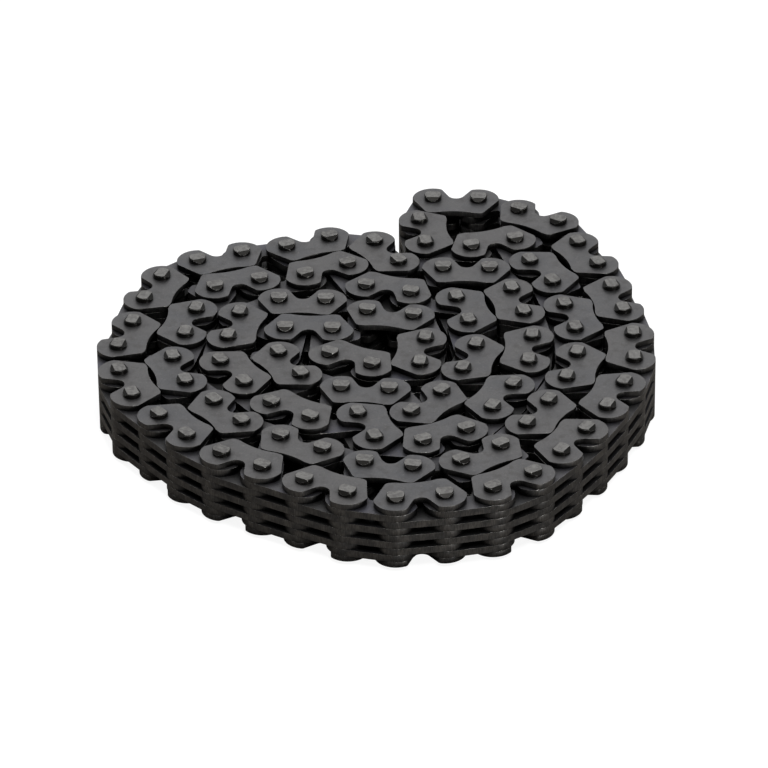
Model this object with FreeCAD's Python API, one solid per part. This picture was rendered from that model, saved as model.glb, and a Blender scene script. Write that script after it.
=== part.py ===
import FreeCAD, Part
import math
import os

# An endless inverted-tooth ("silent") chain, doubled flat and rolled up into a coil that lies on its side.
# Millimetres, +Z up. The pins stand upright, and their lower ends rest on the plane z = 0.
# The origin is on that plane, under the middle of the coil.

# --- driving dimensions -------------------------------------------------------------------------------------
PITCH = 6.35                  # pin to pin, the quarter-inch size
PIN_DIAMETER = 2.4
PIN_STUB = 0.7                # how far a pin stands out of its guide plate
PIN_LAND_WIDTH = 1.5          # width of the flat land on a pin's end, between its two bevels
PIN_BEVEL_HEIGHT = 0.45
PIN_EDGE_BREAK = 0.1
RUNNING_CLEARANCE = 0.05      # radial, a pin in the plates that turn on it
PLATE_THICKNESS = 0.97        # a toothed plate
GUIDE_THICKNESS = 0.80        # an outer guide plate
PLATE_GAP = 0.04              # air between neighbouring plates of the stack
LACING = "GAIAIAIAG"          # the stack: G guide plate, I toothed plate of a guide row, A of a turning row

LOBE_RADIUS = 2.85            # plate end about its pin
GUIDE_DEPTH = 3.80            # pitch line to a guide plate's toothed side
TIP_DEPTH = 3.75              # pitch line to the tooth tips
FLANK_ANGLE = 30.0            # outer flank of a tooth, from the upright
NOTCH_FLOOR = 0.17            # floor of a guide plate's back notch, above the pitch line
NOTCH_RADIUS = 1.2
NOTCH_ANGLE = 29.0            # side of the notch, from the upright
GUIDE_HOLLOW = 0.42           # depth of the shallow hollow in a guide plate's toothed side
GUIDE_HOLLOW_WIDTH = 5.6      # along the plate
CROTCH_TOP = -0.2             # top of the gap between a plate's two teeth, below the pitch line
CROTCH_RADIUS = 0.55
CROTCH_ANGLE = 27.0
CORNER_RADIUS = 0.7           # tooth tips, and where the lobes meet the flanks
SHOULDER_RADIUS = 0.6         # where a lobe turns into the notch
FLANK_START = -2.0            # where the flank leaves the lobe, as an angle about the pin
SLOT_ANGLE = 28.0             # the opened eye's mouth, from the link's line towards its teeth
SLOT_CLEARANCE = 0.12         # each side of the pin in that mouth

# --- the lay of the chain -----------------------------------------------------------------------------------
# Heading of each link in turn, in degrees anticlockwise from +X, to the nearest five. Guide rows and turning
# rows alternate, starting with a guide row. The chain's toothed side is on the left of this direction.
LAY = {
    "outer fold": (-70, -10, 30, -75),
    "inner strand, right side": (-65, -70, -75, -90, -105, -120, -110, -125),
    "inner strand, front": (-140, -165, 170, 150, 145, 145, 125, 135),
    "inner strand, left side": (100, 70, 80, 85),
    "inner strand, back": (0, 20, 25, -55, -10, -25),
    "inner strand, second turn": (-75, -80, -115, -105, -130, 115, 180, 155, 120, 85),
    "inner fold": (20, -95, -30, 0, 70, 105),
    "outer strand, second turn": (165, 150, -175, -150, -95, -105, -60, -55, -35, 10),
    "outer strand, under the inner one": (-75, -10, 30, 50, 75, 55, 85, 100, 105, 115),
    "outer strand, back": (175, 170, 120, 165, -150, -165, -175, -140),
    "outer strand, left side": (-95, -105, -105, -95, -80, -45),
    "outer strand, front": (-55, -40, -40, -35, -25, -15, 5, 15),
    "outer strand, right side": (40, 55, 50, 65, 70, 75, 95, 95, 105, 110, 115, 115),
    "back to the outer fold": (165, 145, -175, -105),
}
SETTLE_SWEEPS = 300
TRUE_PITCH_SWEEPS = 200
PLATE_SPACE = 0.13            # air left between plates that lie side by side
COVER_RADIUS = 1.5            # of the circles that stand for a lobe's rim


def rough_pins():
    """Pins laid link by link along LAY as complex numbers, with the gap at the join shared among all."""
    headings = [heading for stretch in LAY.values() for heading in stretch]
    pins = [0j]
    for heading in headings:
        pins.append(pins[-1] + PITCH * turned(heading))
    gap = pins.pop()
    return [pin - gap * i / len(pins) for i, pin in enumerate(pins)]


def cover_corners():
    """Circles whose hull, two by two around the ring, holds a plate: the centre's pin weights, and radius."""
    points = outline_points(GUIDE_DEPTH)
    lobe, tip = points["lobe"], points["tip_centre"]
    right = [(lobe + (LOBE_RADIUS - COVER_RADIUS) * turned(angle), COVER_RADIUS) for angle in (90, 45, 0)]
    right += [(tip, CORNER_RADIUS), (points["hollow_end"] + 1j * CORNER_RADIUS, CORNER_RADIUS)]
    left = [(mirrored(centre), radius) for centre, radius in reversed(right)]
    ring = right + [(1j * (GUIDE_HOLLOW + COVER_RADIUS - GUIDE_DEPTH), COVER_RADIUS)] + left
    corners = []
    for centre, radius in ring:
        lean = centre.conjugate() / PITCH
        corners.append((0.5 - lean, 0.5 + lean, radius))
    return corners


def settled(pins):
    """The closed chain with true pitches and no plates touching, found by nudging pins a little at a time."""
    count = len(pins)
    corners = cover_corners()
    reach = PITCH + 2 * LOBE_RADIUS + PLATE_SPACE
    for sweep in range(SETTLE_SWEEPS):
        true_pitches(pins)
        for i in range(count - 2):
            for j in range(i + 2, count, 2):
                apart = pins[i] + pins[i + 1] - pins[j] - pins[(j + 1) % count]
                if abs(apart) / 2 < reach:
                    push_apart(pins, i, j, corners)
                    push_apart(pins, j, i, corners)
    for sweep in range(TRUE_PITCH_SWEEPS):
        true_pitches(pins)
    return pins


def true_pitches(pins):
    """Pull or push each pair of neighbouring pins to one pitch apart, in turn round the loop."""
    for i, pin in enumerate(pins):
        after = (i + 1) % len(pins)
        step = pins[after] - pins[i]
        stretch = step * (1 - PITCH / abs(step)) / 2
        pins[i] += stretch
        pins[after] -= stretch


def push_apart(pins, i, j, corners):
    """Move the pins of links i and j just enough for the corners of i to clear the sides of j."""
    i_after, j_after = (i + 1) % len(pins), (j + 1) % len(pins)
    half_length = PITCH / 2 + LOBE_RADIUS
    for a, b, radius in corners:
        corner = a * pins[i] + b * pins[i_after]
        if abs(corner - (pins[j] + pins[j_after]) / 2) > half_length + radius + PLATE_SPACE:
            continue
        for k, (c, d, start_radius) in enumerate(corners):
            e, f, end_radius = corners[(k + 1) % len(corners)]
            corner = a * pins[i] + b * pins[i_after]
            start = c * pins[j] + d * pins[j_after]
            side = e * pins[j] + f * pins[j_after] - start
            t = min(1, max(0, ((corner - start) * side.conjugate()).real / abs(side) ** 2))
            between = start + t * side - corner
            lack = radius + start_radius + t * (end_radius - start_radius) + PLATE_SPACE - abs(between)
            if lack > 0:
                c, d = c + t * (e - c), d + t * (f - d)
                nudge = between / abs(between) * lack / 2
                share = abs(a) ** 2 + abs(b) ** 2
                pins[i] -= a.conjugate() * nudge / share
                pins[i_after] -= b.conjugate() * nudge / share
                share = abs(c) ** 2 + abs(d) ** 2
                pins[j] += c.conjugate() * nudge / share
                pins[j_after] += d.conjugate() * nudge / share


# --- outlines -----------------------------------------------------------------------------------------------
# An outline is a start point and a list of stretches, each (a point passed through, the end point), where None
# as the first makes it straight. Points are complex numbers, +x along the link and +y towards its back.
def turned(degrees):
    return complex(math.cos(math.radians(degrees)), math.sin(math.radians(degrees)))


def mirrored(point):
    return complex(-point.real, point.imag)


def outline_points(depth):
    """The named points on the right half of a plate that reaches this far below its pitch line."""
    lobe = PITCH / 2
    flank = lobe + LOBE_RADIUS * turned(FLANK_START)
    tip = complex(flank.real - (depth + flank.imag) * math.tan(math.radians(FLANK_ANGLE)), -depth)
    tip_inset = CORNER_RADIUS * math.tan(math.radians(90 - FLANK_ANGLE) / 2)
    notch_side = NOTCH_RADIUS * turned(-NOTCH_ANGLE) + 1j * (NOTCH_FLOOR + NOTCH_RADIUS)
    along = turned(90 - NOTCH_ANGLE)
    lobe_from_side = (lobe - notch_side) * along.conjugate()
    chord = math.sqrt(LOBE_RADIUS ** 2 - lobe_from_side.imag ** 2)
    shoulder = notch_side + along * (lobe_from_side.real + chord)
    crotch_side = CROTCH_RADIUS * turned(CROTCH_ANGLE) + 1j * (CROTCH_TOP - CROTCH_RADIUS)
    inner_tip_x = crotch_side.real + (depth + crotch_side.imag) * math.tan(math.radians(CROTCH_ANGLE))
    return {
        "lobe": complex(lobe, 0),
        "lobe_top": lobe + LOBE_RADIUS * turned(70),
        "lobe_side": lobe + LOBE_RADIUS * turned(45),
        "back": complex(lobe, LOBE_RADIUS),
        "flank": flank,
        "tip": tip,
        "tip_centre": tip + complex(-tip_inset, CORNER_RADIUS),
        "hollow_end": complex(GUIDE_HOLLOW_WIDTH / 2, -depth),
        "notch_side": notch_side,
        "shoulder": shoulder,
        "crotch_side": crotch_side,
        "inner_tip": complex(inner_tip_x, -depth),
    }


def guide_outline():
    p = outline_points(GUIDE_DEPTH)
    m = {name: mirrored(point) for name, point in p.items()}
    return m["tip"], [
        (None, m["hollow_end"]),
        (1j * (GUIDE_HOLLOW - GUIDE_DEPTH), p["hollow_end"]),
        (None, p["tip"]),
        (None, p["flank"]),
        (p["lobe_top"], p["shoulder"]),
        (None, p["notch_side"]),
        (1j * NOTCH_FLOOR, m["notch_side"]),
        (None, m["shoulder"]),
        (m["lobe_top"], m["flank"]),
        (None, m["tip"]),
    ]


def tooth_outline():
    p = outline_points(TIP_DEPTH)
    m = {name: mirrored(point) for name, point in p.items()}
    return m["tip"], [
        (None, m["inner_tip"]),
        (None, m["crotch_side"]),
        (1j * CROTCH_TOP, p["crotch_side"]),
        (None, p["inner_tip"]),
        (None, p["tip"]),
        (None, p["flank"]),
        (p["lobe_side"], p["back"]),
        (None, m["back"]),
        (m["lobe_side"], m["flank"]),
        (None, m["tip"]),
    ]


# --- solids -------------------------------------------------------------------------------------------------
OUTER_ROWS = range(70, 100)   # links of the outer strand that unroll
FOLD_ROWS = range(11, -5, -1)  # links at the outer fold that swing open, from the coil to the free end
OPEN_ROW = 99                 # its far eye has a mouth, so that it can leave the pin of row 100


def vector(point, height=0.0):
    return FreeCAD.Vector(point.real, point.imag, height)


def blank(outline, thickness):
    """A flat plate of this outline."""
    start, stretches = outline
    edges = []
    for via, end in stretches:
        if via is None:
            edges.append(Part.makeLine(vector(start), vector(end)))
        else:
            edges.append(Part.Arc(vector(start), vector(via), vector(end)).toShape())
        start = end
    return Part.Face(Part.Wire(edges)).extrude(FreeCAD.Vector(0, 0, thickness))


def rounded(plate, points, radius):
    """Round the upright edges that stand on these points and on their mirror images."""
    corners = list(points) + [mirrored(point) for point in points]
    edges = []
    for edge in plate.Edges:
        middle = edge.CenterOfMass
        upright = abs(edge.Vertexes[0].Z - edge.Vertexes[-1].Z) > PLATE_THICKNESS / 2
        if upright and min(abs(complex(middle.x, middle.y) - corner) for corner in corners) < 0.001:
            edges.append(edge)
    return plate.makeFillet(radius, edges)


def bored(plate, radius):
    """The plate with its two round eyes."""
    for x in (-PITCH / 2, PITCH / 2):
        eye = Part.makeCylinder(radius, 3 * PLATE_THICKNESS, FreeCAD.Vector(x, 0, -PLATE_THICKNESS))
        plate = plate.cut(eye)
    return plate


def guide_plate():
    p = outline_points(GUIDE_DEPTH)
    plate = blank(guide_outline(), GUIDE_THICKNESS)
    plate = rounded(plate, [p["tip"], p["flank"]], CORNER_RADIUS)
    plate = rounded(plate, [p["shoulder"]], SHOULDER_RADIUS)
    return bored(plate, PIN_DIAMETER / 2)


def toothed_plate(eye_radius):
    p = outline_points(TIP_DEPTH)
    plate = blank(tooth_outline(), PLATE_THICKNESS)
    plate = rounded(plate, [p["tip"], p["inner_tip"], p["flank"]], CORNER_RADIUS)
    return bored(plate, eye_radius)


def with_mouth(plate):
    """The plate with its -X eye opened by a straight slot out through the flank."""
    width = PIN_DIAMETER + 2 * SLOT_CLEARANCE
    slot = Part.makeBox(PITCH, width, 3 * PLATE_THICKNESS, FreeCAD.Vector(0, -width / 2, -PLATE_THICKNESS))
    turn = FreeCAD.Rotation(FreeCAD.Vector(0, 0, 1), 180 + SLOT_ANGLE)
    place = FreeCAD.Placement(vector(complex(-PITCH / 2, 0)), turn)
    return plate.cut(slot.transformed(place.toMatrix(), True))


def chain_pin():
    """A pin standing on z = 0: a round bar whose ends carry a narrow land between two bevels, along X."""
    radius = PIN_DIAMETER / 2
    bar = Part.makeCylinder(radius, PIN_LENGTH)
    bar = bar.makeChamfer(PIN_EDGE_BREAK, [edge for edge in bar.Edges if len(edge.Vertexes) == 1])
    land = PIN_LAND_WIDTH / 2
    slope = PIN_BEVEL_HEIGHT / (radius - land)
    outside = radius + PIN_EDGE_BREAK
    right = [(land, 0), (outside, slope * (outside - land))]
    right += [(y, PIN_LENGTH - z) for y, z in reversed(right)]
    section = right + [(-y, z) for y, z in reversed(right)]
    corners = [FreeCAD.Vector(-PIN_DIAMETER, y, z) for y, z in section]
    bevels = Part.Face(Part.makePolygon(corners + corners[:1])).extrude(FreeCAD.Vector(2 * PIN_DIAMETER, 0, 0))
    return bar.common(bevels)


def stack_levels():
    """(kind, height of its underside) of each plate of the stack, from the bottom up."""
    levels = []
    height = PIN_STUB
    for kind in LACING:
        levels.append((kind, height))
        height += (GUIDE_THICKNESS if kind == "G" else PLATE_THICKNESS) + PLATE_GAP
    return levels, height - PLATE_GAP + PIN_STUB


LEVELS, PIN_LENGTH = stack_levels()


def centred(pins):
    """The pins moved so that the plates' bounding box is centred on the origin."""
    ends = zip(pins, pins[1:] + pins[:1])
    rim = [(a + b) / 2 - (b - a) / PITCH * point for a, b in ends for point in plate_rim()]
    xs, ys = [point.real for point in rim], [point.imag for point in rim]
    middle = complex(min(xs) + max(xs), min(ys) + max(ys)) / 2
    return [pin - middle for pin in pins]


def plate_rim():
    """Points all round the outermost line of a plate, close enough together to find its extent."""
    lobe = [PITCH / 2 + LOBE_RADIUS * turned(angle) for angle in range(0, 91, 3)]
    right = lobe + [outline_points(GUIDE_DEPTH)["tip"] + 1j * CORNER_RADIUS / 2]
    return right + [mirrored(point) for point in right]


def placed(shape, start, end, height):
    """A copy laid on the link from one pin to the next, with its back on the right of that direction."""
    along = end - start
    turn = FreeCAD.Rotation(FreeCAD.Vector(0, 0, 1), math.degrees(math.atan2(along.imag, along.real)) + 180)
    place = FreeCAD.Placement(vector((start + end) / 2, height), turn)
    return shape.transformed(place.toMatrix(), True)


def link(row, shapes, pins):
    """The pieces of one row of the chain, as {what it is: solid}."""
    start, end = pins[row], pins[(row + 1) % len(pins)]
    pieces = {}
    if row % 2:
        plate = shapes["mouthed"] if row == OPEN_ROW else shapes["turning"]
        for number, (kind, height) in enumerate(level for level in LEVELS if level[0] == "A"):
            pieces["turning_plates_" + "abcd"[number]] = [placed(plate, start, end, height)]
        return pieces
    guides = [placed(shapes["guide"], start, end, height) for kind, height in LEVELS if kind == "G"]
    pieces["lower_guide_plates"], pieces["upper_guide_plates"] = [guides[0]], [guides[1]]
    for number, (kind, height) in enumerate(level for level in LEVELS if level[0] == "I"):
        pieces["fixed_plates_" + "abc"[number]] = [placed(shapes["fixed"], start, end, height)]
    half = (end - start) / 2
    pieces["pins"] = [placed(shapes["pin"], pin - half, pin + half, 0) for pin in (start, end)]
    return pieces


def build():
    """Every node of the chain, as {name: its solids}."""
    pins = centred(settled(rough_pins()))
    shapes = {
        "guide": guide_plate(),
        "fixed": toothed_plate(PIN_DIAMETER / 2),
        "turning": toothed_plate(PIN_DIAMETER / 2 + RUNNING_CLEARANCE),
        "pin": chain_pin(),
    }
    shapes["mouthed"] = with_mouth(shapes["turning"])
    moving = {}
    for strand, rows in (("outer", OUTER_ROWS), ("fold", FOLD_ROWS)):
        for number, row in enumerate(rows):
            kind = "turning_link" if row % 2 else "guide_link"
            moving[row % len(pins)] = f"{strand}_{kind}_{number + 1:02d}"
    nodes = {}
    for row in range(len(pins)):
        for piece, solids in link(row, shapes, pins).items():
            nodes.setdefault(moving.get(row, "coil_" + piece), []).extend(solids)
    return nodes


os.makedirs("parts", exist_ok=True)
for name, solids in build().items():
    Part.makeCompound(solids).exportStep(f"parts/{name}.step")
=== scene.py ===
import math

import bpy
from mathutils import Matrix, Vector


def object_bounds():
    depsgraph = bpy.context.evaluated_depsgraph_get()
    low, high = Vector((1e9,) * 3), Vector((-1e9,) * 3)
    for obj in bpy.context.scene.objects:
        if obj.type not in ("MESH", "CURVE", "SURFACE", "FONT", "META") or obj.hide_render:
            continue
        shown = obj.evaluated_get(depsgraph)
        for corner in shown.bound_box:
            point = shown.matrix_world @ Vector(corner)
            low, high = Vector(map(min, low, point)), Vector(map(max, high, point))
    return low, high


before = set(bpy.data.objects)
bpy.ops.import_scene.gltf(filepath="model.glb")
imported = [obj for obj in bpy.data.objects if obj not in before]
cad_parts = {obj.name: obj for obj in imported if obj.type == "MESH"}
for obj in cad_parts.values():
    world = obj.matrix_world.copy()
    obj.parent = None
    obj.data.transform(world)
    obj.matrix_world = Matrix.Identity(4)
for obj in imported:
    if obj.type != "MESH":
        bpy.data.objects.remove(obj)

# A coiled inverted-tooth chain of blackened steel plates on bright-ended pins, lying on a pale studio floor.
# Blender units are metres. The chain's shapes come from the frame; this script gives them their edges, their
# steel and their light.

CAD_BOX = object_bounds()

MM = 0.001
CHAIN_HEIGHT = CAD_BOX[1].z - CAD_BOX[0].z
PIN_STUB = 0.7 * MM                 # how far a pin stands out of its guide plate, from the frame's own design
PIN_FOOT = 0.03 * MM                # the lowest part of that length, still given to the plate
EDGE_WIDTH = 0.12 * MM              # the most that an edge is rounded; small triangles beside it make it less
SHARP_EDGE = math.radians(28)       # edges that turn more than this are real edges
WELD_DISTANCE = 0.0005 * MM         # corners closer than this are the same corner

# The camera: a long lens, a little above the coil.
CAMERA_AZIMUTH = math.radians(0.74)
CAMERA_ELEVATION = math.radians(31.6)
CAMERA_ROLL = math.radians(-0.61)
CAMERA_DISTANCE = 747.4 * MM
CAMERA_TARGET = Vector((1.18 * MM, -10.83 * MM, 9.51 * MM))
LENS_MM = 265.2
SENSOR_MM = 36.0
CLIP_START = 0.01
CLIP_END = 20.0

# The studio: a wide soft light overhead and behind, and a dim room in front.
SOFTBOX_ELEVATION = math.radians(56)
SOFTBOX_STRENGTH = 1.0
ROOM_STRENGTH = 0.12
SOFTBOX_EDGES = (0.25, 0.78)        # cosines of the angles from its centre at which it fades out and is full
FLOOR_SIZE = 6.0
FLOOR_GLOW = 0.90

# Azimuth, elevation, distance, size and power of a low lamp at the front right and a high one in front.
LOW_LAMP = (math.radians(36), math.radians(8), 0.8, 0.08, 1.6)
HIGH_LAMP = (math.radians(14), math.radians(57), 0.8, 0.16, 2.6)


# --- node helpers -------------------------------------------------------------------------------------------
class Nodes:
    """A small builder for a node tree."""

    def __init__(self, tree):
        self.tree = tree
        self.tree.nodes.clear()

    def add(self, kind, inputs=None, **settings):
        node = self.tree.nodes.new(kind)
        for key, value in settings.items():
            setattr(node, key, value)
        for key, value in (inputs or {}).items():
            self.feed(node.inputs[key], value)
        return node

    def feed(self, socket, value):
        if isinstance(value, bpy.types.NodeSocket):
            self.tree.links.new(value, socket)
        elif hasattr(value, "outputs"):
            self.tree.links.new(value.outputs[0], socket)
        else:
            socket.default_value = value

    def math(self, operation, *values):
        node = self.add("ShaderNodeMath", operation=operation)
        for socket, value in zip(node.inputs, values):
            self.feed(socket, value)
        return node.outputs[0]

    def ramp(self, value, low, high, to_low=0.0, to_high=1.0, smooth=False):
        """value from low..high to to_low..to_high, held beyond both ends."""
        inputs = {"Value": value, "From Min": low, "From Max": high, "To Min": to_low, "To Max": to_high}
        kind = "SMOOTHSTEP" if smooth else "LINEAR"
        return self.add("ShaderNodeMapRange", inputs, clamp=not smooth, interpolation_type=kind).outputs[0]

    def noise(self, vector, size, detail=3.0, roughness=0.55):
        """Noise whose blotches are about this many millimetres across."""
        inputs = {"Vector": vector, "Scale": 1 / (size * MM), "Detail": detail, "Roughness": roughness}
        return self.add("ShaderNodeTexNoise", inputs).outputs["Fac"]

    def mix(self, share, first, second):
        """From the first colour to the second as share goes from 0 to 1."""
        return self.add("ShaderNodeMix", {0: share, 6: first, 7: second}, data_type="RGBA").outputs[2]

    def parts(self, vector):
        """The outputs X, Y and Z of a vector."""
        return self.add("ShaderNodeSeparateXYZ", {"Vector": vector}).outputs

    def principled(self, inputs):
        """Ends the tree with this steel or card."""
        self.end("ShaderNodeOutputMaterial", self.add("ShaderNodeBsdfPrincipled", inputs))

    def end(self, kind, shader):
        self.add(kind, {"Surface": shader})


def grey(value, red=0.0, blue=0.0):
    """An RGBA grey, a little warmer or cooler as asked."""
    return (value * (1 + red), value, value * (1 + blue), 1.0)


def new_material(name):
    material = bpy.data.materials.new(name)
    material.use_nodes = True
    return material, Nodes(material.node_tree)


def own_place(n):
    """The point on the object moved by a different amount for each piece, and that piece's own random shade."""
    shade = n.add("ShaderNodeAttribute", attribute_name="piece_shade").outputs["Fac"]
    point = n.add("ShaderNodeTexCoord").outputs["Object"]
    shift = n.add("ShaderNodeCombineXYZ", {"X": shade, "Y": n.math("MULTIPLY", shade, 3.7)})
    return n.add("ShaderNodeVectorMath", {0: point, 1: shift}, operation="ADD").outputs[0], shade


def face_tilts(n):
    """Two shares, 0 to 1: how nearly a face lies flat, and how nearly it stands upright."""
    normal = n.parts(n.add("ShaderNodeNewGeometry").outputs["True Normal"])
    level = n.math("ABSOLUTE", normal["Z"])
    return n.ramp(level, 0.80, 0.97), n.ramp(level, 0.1, 0.3, 1.0, 0.0)


def on_pin_stub(n):
    """1 above the upper guide plates and below the lower ones, where only pins are, and 0 between."""
    height = n.parts(n.add("ShaderNodeTexCoord").outputs["Object"])["Z"]
    middle = CHAIN_HEIGHT / 2
    from_middle = n.math("ABSOLUTE", n.math("SUBTRACT", height, middle))
    return n.math("GREATER_THAN", from_middle, middle - PIN_STUB + PIN_FOOT)


# --- materials ----------------------------------------------------------------------------------------------
def plate_steel(name, tone, blue):
    """Blackened plate: satin flat faces with clouds and stains, sheared sides with fine drag lines, and painted
    shade in corners, in the gaps between plates and at the feet of the pins. Where a pin stands out of the
    stack, its side is nearly black and its end is worn bright."""
    material, n = new_material(name)
    point, shade = own_place(n)
    flat, upright = face_tilts(n)
    cloud = n.noise(point, 3.5)
    stain = n.noise(point, 1.3, detail=5.0)
    grain = n.noise(point, 0.14, detail=4.0)
    long_in_z = n.add("ShaderNodeVectorMath", {0: point, 1: (1.0, 1.0, 0.12)}, operation="MULTIPLY").outputs[0]
    drag = n.noise(long_in_z, 0.10, detail=2.0)
    fleck = n.noise(point, 0.45, detail=4.0)
    # Painted shade: ambient occlusion within 3 mm, used below to darken corners, the gaps between plates and
    # the feet of the pins.
    painted_shade_ao = n.add("ShaderNodeAmbientOcclusion", {"Distance": 3.0 * MM}, samples=4).outputs["AO"]

    dark_cloud, light_cloud = grey(tone * 0.90, -0.01, blue * 1.5), grey(tone * 1.16, 0.01, blue * 0.3)
    face = n.mix(n.ramp(cloud, 0.38, 0.64), dark_cloud, light_cloud)
    face = n.mix(n.ramp(shade, 0.0, 1.0, 0.0, 0.6), face, grey(tone * 1.12, 0.03, -0.02))
    face = n.mix(n.ramp(stain, 0.50, 0.70, 0.0, 0.55), face, grey(tone * 0.62, 0.06, -0.03))
    face = n.mix(n.ramp(fleck, 0.58, 0.72, 0.0, 0.40), face, grey(tone * 1.9, 0.02, -0.02))
    face = n.mix(n.ramp(grain, 0.32, 0.66, 0.0, 0.30), face, grey(tone * 0.35))
    # Painted shade: faces go to a near-black grey where neighbouring plates and pins close them in.
    face = n.mix(n.ramp(painted_shade_ao, 0.35, 0.92), grey(tone * 0.12), face)
    side = n.mix(n.ramp(stain, 0.38, 0.66), grey(0.085, 0.01, 0.0), grey(0.15, 0.05, -0.06))
    side = n.mix(n.ramp(drag, 0.38, 0.64, 0.0, 0.60), side, grey(0.035, 0.02, -0.02))
    # Painted shade: sides go almost black in the gaps between plates.
    side = n.mix(n.ramp(painted_shade_ao, 0.50, 0.92), grey(0.002), side)
    plate = n.mix(flat, side, face)

    stub = on_pin_stub(n)
    land = n.mix(n.ramp(fleck, 0.40, 0.62), grey(0.225, 0.02, -0.05), grey(0.125, 0.03, -0.04))
    land = n.mix(n.ramp(shade, 0.0, 1.0, 0.0, 0.35), land, grey(0.27, 0.01, -0.04))
    land = n.mix(n.ramp(grain, 0.40, 0.66, 0.0, 0.35), land, grey(0.06))
    pin = n.mix(flat, grey(0.016, 0.05, -0.08), land)
    colour = n.mix(stub, plate, pin)

    rough = n.math("ADD", n.ramp(cloud, 0.3, 0.7, 0.38, 0.48), n.ramp(grain, 0.3, 0.7, -0.04, 0.06))
    rough = n.math("ADD", rough, n.math("MULTIPLY", n.math("MULTIPLY", stub, upright), -0.18))
    relief = n.math("ADD", n.math("MULTIPLY", grain, 0.6), n.math("MULTIPLY", stain, 0.8))
    relief = n.math("ADD", relief, n.math("MULTIPLY", n.math("SUBTRACT", 1.0, flat), drag))
    bump = n.add("ShaderNodeBump", {"Strength": 0.4, "Distance": 0.02 * MM, "Height": relief})
    n.principled({"Base Color": colour, "Metallic": 0.85, "Roughness": rough, "Normal": bump})
    return material


def worn_edge_with_painted_light():
    """The rounded edges of plates and pins: bright where they look up, partly worn metal and partly a painted
    highlight, and black where they look down, a painted shade.
    """
    material, n = new_material("worn_edge_with_painted_light")
    rub = n.noise(own_place(n)[0], 0.8, detail=4.0)
    normal = n.parts(n.add("ShaderNodeNewGeometry").outputs["Normal"])
    # Painted highlight and painted shade: edge colour goes from black where the edge looks down to bright where
    # it looks up, broken by worn-metal noise.
    rub_and_painted_light = n.math("MULTIPLY", n.ramp(rub, 0.38, 0.60, 0.30, 1.0), n.ramp(normal["Z"], 0.0, 0.45))
    colour = n.mix(rub_and_painted_light, grey(0.015, 0.03, -0.03), grey(0.65, 0.02, -0.05))
    n.principled({"Base Color": colour, "Metallic": 0.9, "Roughness": 0.32})
    return material


def floor_white():
    """White card: the camera sees it bright and even, and the steel is lit by it as by a dim floor."""
    material, n = new_material("floor_white")
    point = n.add("ShaderNodeTexCoord").outputs["Object"]
    tone = n.mix(n.noise(point, 30.0), grey(0.18), grey(0.22))
    card = n.add("ShaderNodeBsdfPrincipled", {"Base Color": tone, "Roughness": 0.9})
    dim = n.add("ShaderNodeBsdfPrincipled", {"Base Color": grey(0.16, 0.10, -0.12), "Roughness": 0.9})
    glow = n.add("ShaderNodeEmission", {"Color": grey(1.0), "Strength": FLOOR_GLOW})
    lit = n.add("ShaderNodeAddShader", {0: card.outputs[0], 1: glow.outputs[0]})
    seen = n.add("ShaderNodeLightPath").outputs["Is Camera Ray"]
    shader = n.add("ShaderNodeMixShader", {0: seen, 1: dim.outputs[0], 2: lit.outputs[0]})
    n.end("ShaderNodeOutputMaterial", shader)
    return material


# --- the chain's surfaces -----------------------------------------------------------------------------------
def joined_up():
    """A geometry node group that closes the frame's split corners and gives each plate and pin its shade."""
    group = bpy.data.node_groups.new("joined_up", "GeometryNodeTree")
    group.interface.new_socket("Geometry", in_out="INPUT", socket_type="NodeSocketGeometry")
    group.interface.new_socket("Seed", in_out="INPUT", socket_type="NodeSocketInt")
    group.interface.new_socket("Geometry", in_out="OUTPUT", socket_type="NodeSocketGeometry")
    n = Nodes(group)
    start = n.add("NodeGroupInput")
    inputs = {"Geometry": start.outputs["Geometry"], "Distance": WELD_DISTANCE}
    merged = n.add("GeometryNodeMergeByDistance", inputs)
    island = n.add("GeometryNodeInputMeshIsland").outputs["Island Index"]
    pick = n.add("FunctionNodeRandomValue", {"ID": island, "Seed": start.outputs["Seed"]})
    inputs = {"Geometry": merged, "Name": "piece_shade", "Value": pick.outputs["Value"]}
    stored = n.add("GeometryNodeStoreNamedAttribute", inputs, domain="POINT")
    n.add("NodeGroupOutput", {"Geometry": stored})
    return group


def finish_node(node, number, group, materials):
    """Give a frame node its materials, joined corners and rounded edges."""
    node.data.materials.clear()
    for material in materials:
        node.data.materials.append(material)
    join = node.modifiers.new("joined_up", "NODES")
    join.node_group = group
    seed = next(item for item in group.interface.items_tree if item.name == "Seed")
    join[seed.identifier] = number
    edge = node.modifiers.new("edges", "BEVEL")
    edge.limit_method = "ANGLE"
    edge.angle_limit = SHARP_EDGE
    edge.width = EDGE_WIDTH
    edge.segments = 2
    edge.material = 1
    edge.harden_normals = True
    edge.use_clamp_overlap = True


guide_steel = plate_steel("guide_steel", 0.130, 0.035)
turning_steel = plate_steel("turning_steel", 0.130, 0.20)
edge_steel = worn_edge_with_painted_light()
group = joined_up()
for number, name in enumerate(sorted(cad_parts)):
    steel = turning_steel if "turning" in name else guide_steel
    finish_node(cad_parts[name], number, group, (steel, edge_steel))


# --- studio -------------------------------------------------------------------------------------------------
def plane(name, size, z):
    mesh = bpy.data.meshes.new(name)
    half = size / 2
    corners = [(-half, -half, z), (half, -half, z), (half, half, z), (-half, half, z)]
    mesh.from_pydata(corners, [], [(0, 1, 2, 3)])
    obj = bpy.data.objects.new(name, mesh)
    bpy.context.scene.collection.objects.link(obj)
    return obj


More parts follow.
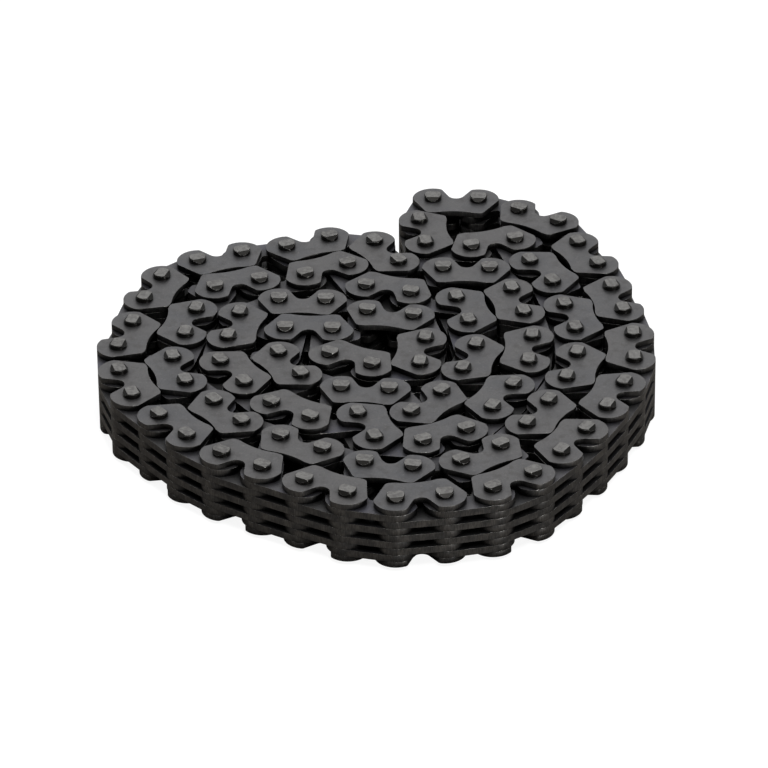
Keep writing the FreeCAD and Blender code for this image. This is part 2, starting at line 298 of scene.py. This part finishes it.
def seen_from(azimuth, elevation):
    """The unit vector from the coil towards a viewer. Azimuth 0 is the front, and 90 degrees the right."""
    flat = math.cos(elevation)
    return Vector((math.sin(azimuth) * flat, -math.cos(azimuth) * flat, math.sin(elevation)))


def studio_world():
    """A room with one wide soft light, centred overhead and behind the coil."""
    world = bpy.data.worlds.new("studio")
    world.use_nodes = True
    n = Nodes(world.node_tree)
    centre = seen_from(math.pi, SOFTBOX_ELEVATION)
    direction = n.add("ShaderNodeTexCoord").outputs["Generated"]
    toward = n.add("ShaderNodeVectorMath", {0: direction, 1: tuple(centre)}, operation="DOT_PRODUCT")
    strength = n.ramp(toward.outputs["Value"], *SOFTBOX_EDGES, ROOM_STRENGTH, SOFTBOX_STRENGTH, smooth=True)
    light = n.add("ShaderNodeBackground", {"Color": grey(1.0, 0.0, 0.01), "Strength": strength})
    n.end("ShaderNodeOutputWorld", light)
    return world


def lamp(name, azimuth, elevation, distance, size, power):
    light = bpy.data.lights.new(name, "AREA")
    light.shape = "DISK"
    light.size = size
    light.energy = power
    place = seen_from(azimuth, elevation) * distance
    obj = bpy.data.objects.new(name, light)
    obj.location = place
    obj.rotation_euler = (-place).to_track_quat("-Z", "Y").to_euler()
    bpy.context.scene.collection.objects.link(obj)


def photographer():
    """A camera at the coil's front."""
    camera = bpy.data.objects.new("camera", bpy.data.cameras.new("camera"))
    camera.data.sensor_width = SENSOR_MM
    camera.data.lens = LENS_MM
    camera.data.clip_start = CLIP_START
    camera.data.clip_end = CLIP_END
    back = seen_from(CAMERA_AZIMUTH, CAMERA_ELEVATION)
    turn = (-back).to_track_quat("-Z", "Y").to_matrix().to_4x4() @ Matrix.Rotation(CAMERA_ROLL, 4, "Z")
    camera.matrix_world = Matrix.Translation(CAMERA_TARGET + back * CAMERA_DISTANCE) @ turn
    bpy.context.scene.collection.objects.link(camera)
    return camera


floor = plane("floor", FLOOR_SIZE, 0.0)
floor.data.materials.append(floor_white())
bpy.context.scene.world = studio_world()
lamp("low_lamp", *LOW_LAMP)
lamp("high_lamp", *HIGH_LAMP)
bpy.context.scene.camera = photographer()
bpy.context.scene.view_settings.view_transform = "Standard"
